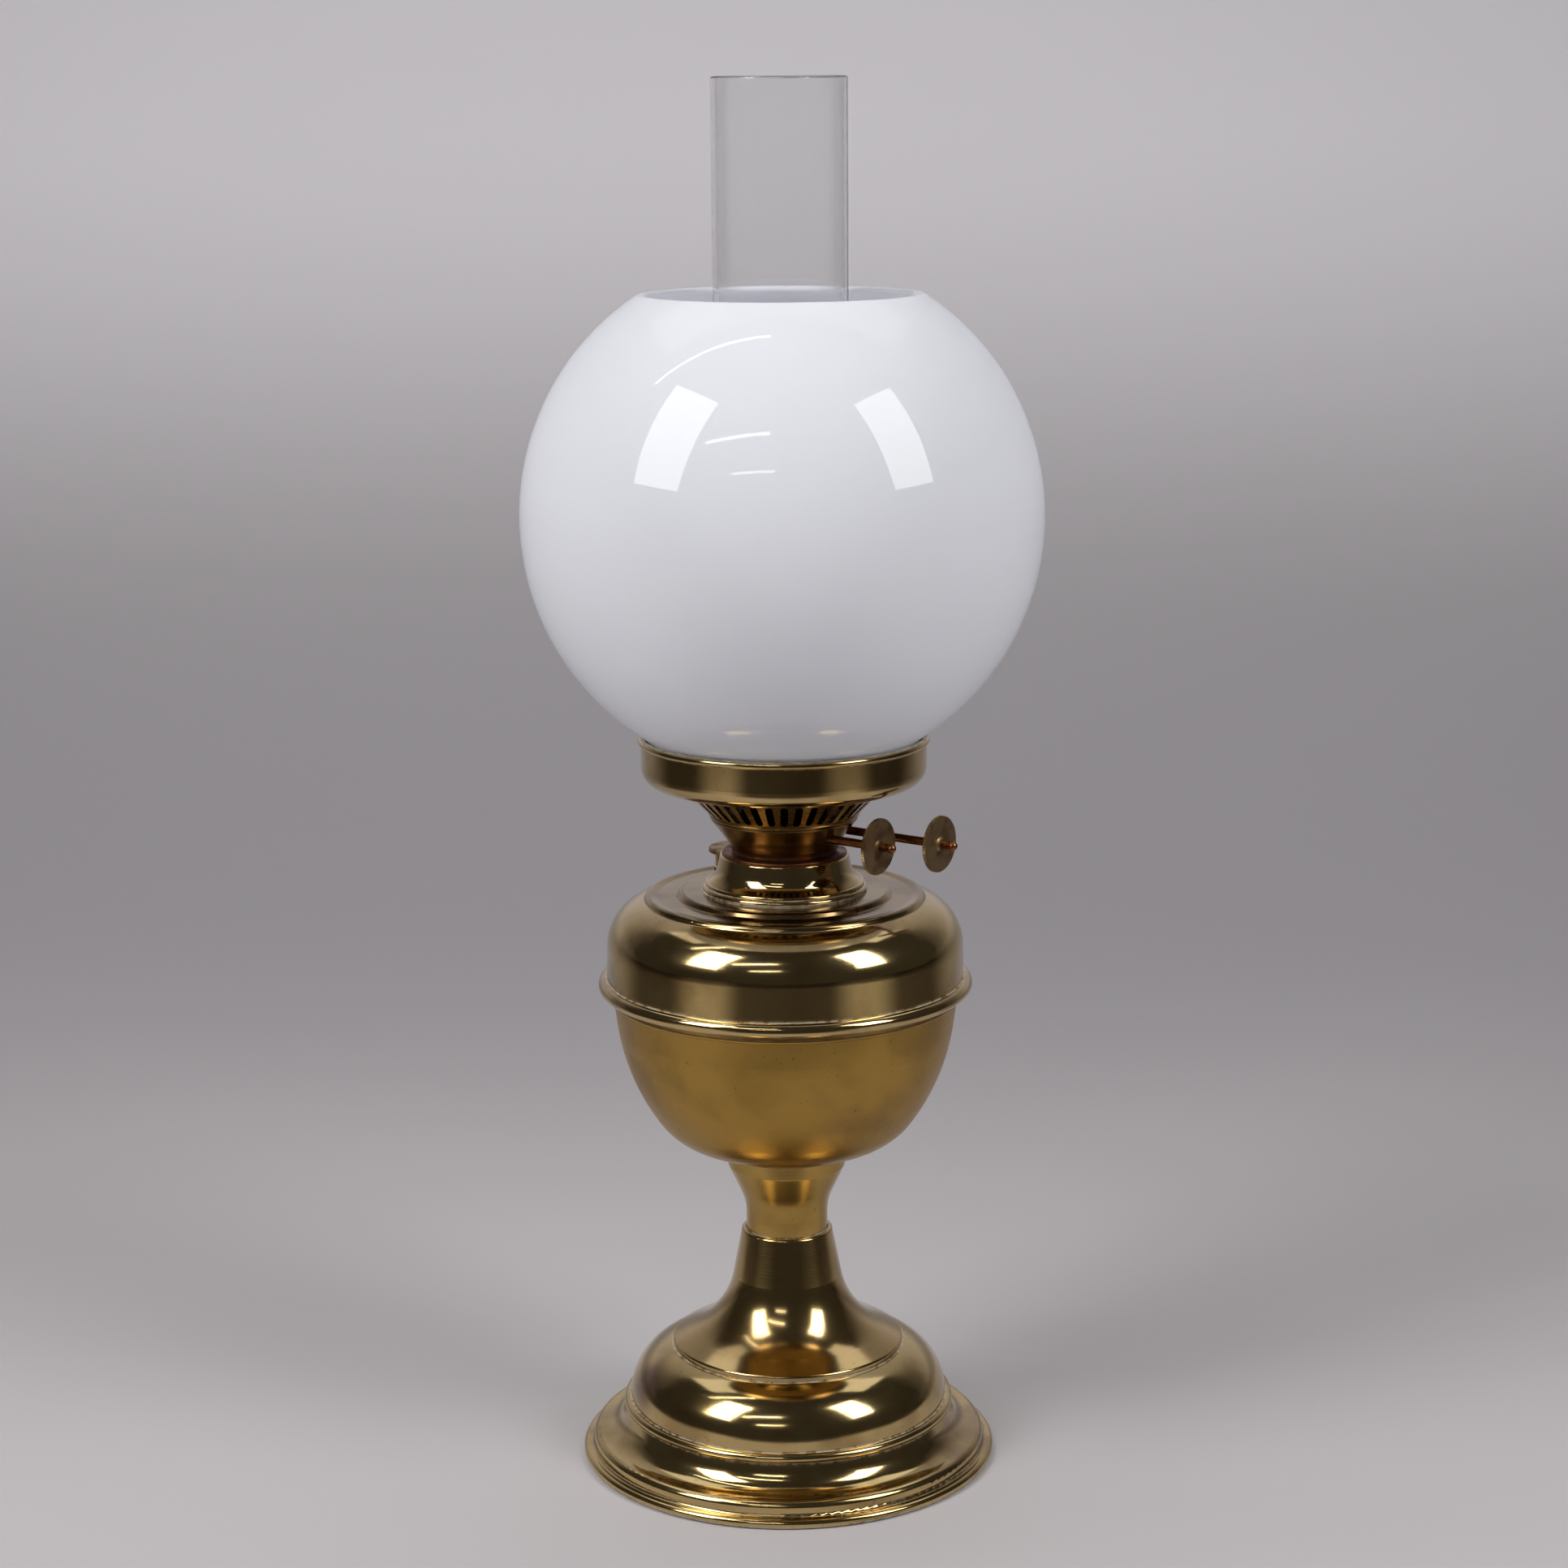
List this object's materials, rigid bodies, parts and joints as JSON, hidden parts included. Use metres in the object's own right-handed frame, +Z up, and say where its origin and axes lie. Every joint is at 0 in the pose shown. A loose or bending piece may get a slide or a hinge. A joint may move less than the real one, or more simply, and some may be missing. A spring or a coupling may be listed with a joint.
{
  "type": "oil lamp",
  "caption": "Brass table oil lamp with a wick burner and winders, clear glass chimney, opal glass globe, spun font, stem and weighted foot.",
  "frame": {"origin": "middle of the foot's underside, where the rolled rim rests", "axes": "+Z up along the lamp's axis, -Y towards the viewer, +X to the viewer's right, the side of the winder knobs"},
  "size_m": [0.191, 0.191, 0.5171],
  "materials": {
    "polished_brass": "spun, polished and lacquered, a little tarnished",
    "half_polished_brass": "spun, half polished",
    "satin_brass": "spun and left satin, with fine turning marks",
    "burner_brass": "stamped, heat-browned",
    "sooty_brass": "stamped, dulled dark by heat and soot",
    "dark_brass": "turned, dark red-brown lacquer",
    "copper_brass": "drawn rod, browned",
    "knob_bronze": "stamped disc with a milled edge, dulled",
    "plain_steel": "plain",
    "ballast_iron": "rough cast",
    "cork": "pressed cork",
    "wick_cotton": "flat woven tape",
    "clear_glass": "blown, fire-polished rim",
    "opal_glass": "blown opal, glossy"
  },
  "bodies": {
    "lamp_body": {"foot_shell": "polished_brass", "foot_ballast": "ballast_iron", "stem_cone": "polished_brass", "stem_neck": "half_polished_brass", "tie_rod": "plain_steel", "tie_washer": "plain_steel", "tie_nut": "plain_steel", "font_boss": "half_polished_brass", "font_bowl": "satin_brass", "font_dome": "polished_brass", "font_collar": "polished_brass", "burner_mount": "dark_brass", "filler_neck": "half_polished_brass"},
    "filler_cap": {"filler_cap": "knob_bronze", "filler_washer": "cork"},
    "burner": {"burner_cup": "burner_brass", "air_basket": "burner_brass", "tube_plate": "sooty_brass", "air_plate": "sooty_brass", "front_wick_tube": "sooty_brass", "rear_wick_tube": "sooty_brass", "front_spindle_bushes": "burner_brass", "rear_spindle_bushes": "burner_brass", "shade_gallery": "polished_brass", "chimney_holder": "sooty_brass"},
    "flame_cone": {"flame_cone": "sooty_brass"},
    "front_winder": {"front_spindle": "copper_brass", "front_knob": "knob_bronze", "front_spur_wheels": "plain_steel"},
    "rear_winder": {"rear_spindle": "copper_brass", "rear_knob": "knob_bronze", "rear_spur_wheels": "plain_steel"},
    "front_wick": {"front_wick": "wick_cotton"},
    "rear_wick": {"rear_wick": "wick_cotton"},
    "chimney": {"chimney": "clear_glass"},
    "globe": {"globe_shade": "opal_glass"}
  },
  "joints": [
    {"name": "burner_lift", "type": "slide", "parent": "lamp_body", "child": "burner", "axis": [0, 0, 1], "range_m": [0, 0.12]},
    {"name": "filler_cap_lift", "type": "slide", "parent": "lamp_body", "child": "filler_cap", "axis": [0, 0, 1], "range_m": [0, 0.015]},
    {"name": "front_winder_turn", "type": "hinge", "parent": "burner", "child": "front_winder", "pos_m": [-0.00217, -0.00299, 0.2435], "axis": [-0.809, 0.5878, 0], "range_deg": [-184, 110]},
    {"name": "rear_winder_turn", "type": "hinge", "parent": "burner", "child": "rear_winder", "pos_m": [0.00723, 0.00995, 0.2435], "axis": [-0.809, 0.5878, 0], "range_deg": [-184, 110]},
    {"name": "front_wick_slide", "type": "slide", "parent": "burner", "child": "front_wick", "axis": [0, 0, 1], "range_m": [-0.0105, 0.0065]},
    {"name": "rear_wick_slide", "type": "slide", "parent": "burner", "child": "rear_wick", "axis": [0, 0, 1], "range_m": [-0.0105, 0.0065]},
    {"name": "flame_cone_lift", "type": "slide", "parent": "burner", "child": "flame_cone", "axis": [0, 0, 1], "range_m": [0, 0.04]},
    {"name": "chimney_lift", "type": "slide", "parent": "burner", "child": "chimney", "axis": [0, 0, 1], "range_m": [0, 0.2]},
    {"name": "globe_lift", "type": "slide", "parent": "burner", "child": "globe", "axis": [0, 0, 1], "range_m": [0, 0.27]}
  ],
  "couplings": [
    {"joint": "front_wick_slide", "follows": "front_winder_turn", "m_per_rad": 0.0031},
    {"joint": "rear_wick_slide", "follows": "rear_winder_turn", "m_per_rad": 0.0031}
  ]
}
